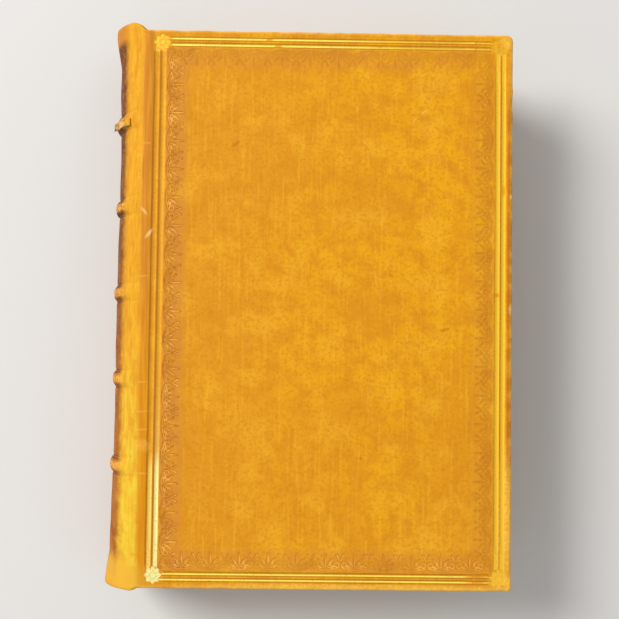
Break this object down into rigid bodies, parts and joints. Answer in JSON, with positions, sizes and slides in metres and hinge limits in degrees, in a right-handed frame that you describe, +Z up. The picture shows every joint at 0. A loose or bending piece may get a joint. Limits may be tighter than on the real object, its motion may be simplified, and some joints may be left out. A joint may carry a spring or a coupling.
{
  "type": "book",
  "caption": "Closed antique leather-bound book lying on its back cover, with a rounded spine, raised bands and two covers that open on leather joints.",
  "frame": {"origin": "centre of the bounding box at its lowest plane, which is the outside of the back cover", "axes": "+X from the spine to the fore-edge, +Y from the tail to the head of the book, +Z up through the closed book from back cover to front cover"},
  "size_m": [0.165, 0.2274, 0.045],
  "materials": {
    "calf_leather": "waxed calf, rubbed",
    "pasteboard": "matt",
    "endpaper": "matt",
    "leaf_edges": "matt",
    "lining_paper": "matt",
    "hemp_cord": "matt",
    "endband_core": "matt",
    "endband_silk": "soft sheen"
  },
  "bodies": {
    "text_block": {"back_flyleaf": "endpaper", "front_flyleaf": "endpaper", "head_endband_core": "endband_core", "head_endband_silk": "endband_silk", "sewing_cord_1": "hemp_cord", "sewing_cord_2": "hemp_cord", "sewing_cord_3": "hemp_cord", "sewing_cord_4": "hemp_cord", "sewing_cord_5": "hemp_cord", "spine_leather": "calf_leather", "spine_lining_1": "lining_paper", "spine_lining_2": "lining_paper", "spine_lining_3": "lining_paper", "spine_lining_4": "lining_paper", "spine_lining_5": "lining_paper", "spine_lining_6": "lining_paper", "tail_endband_core": "endband_core", "tail_endband_silk": "endband_silk", "text_block": "leaf_edges"},
    "front_cover": {"front_board": "pasteboard", "front_cover_leather": "calf_leather", "front_pastedown": "endpaper", "front_slip_1": "hemp_cord", "front_slip_2": "hemp_cord", "front_slip_3": "hemp_cord", "front_slip_4": "hemp_cord", "front_slip_5": "hemp_cord"},
    "back_cover": {"back_board": "pasteboard", "back_cover_leather": "calf_leather", "back_pastedown": "endpaper", "back_slip_1": "hemp_cord", "back_slip_2": "hemp_cord", "back_slip_3": "hemp_cord", "back_slip_4": "hemp_cord", "back_slip_5": "hemp_cord"}
  },
  "joints": [
    {"name": "front_cover_hinge", "type": "hinge", "parent": "text_block", "child": "front_cover", "pos_m": [-0.0675, 0, 0.045], "axis": [0, -1, 0], "range_deg": [0, 180]},
    {"name": "back_cover_hinge", "type": "hinge", "parent": "text_block", "child": "back_cover", "pos_m": [-0.0675, 0, 0], "axis": [0, 1, 0], "range_deg": [0, 180]}
  ]
}
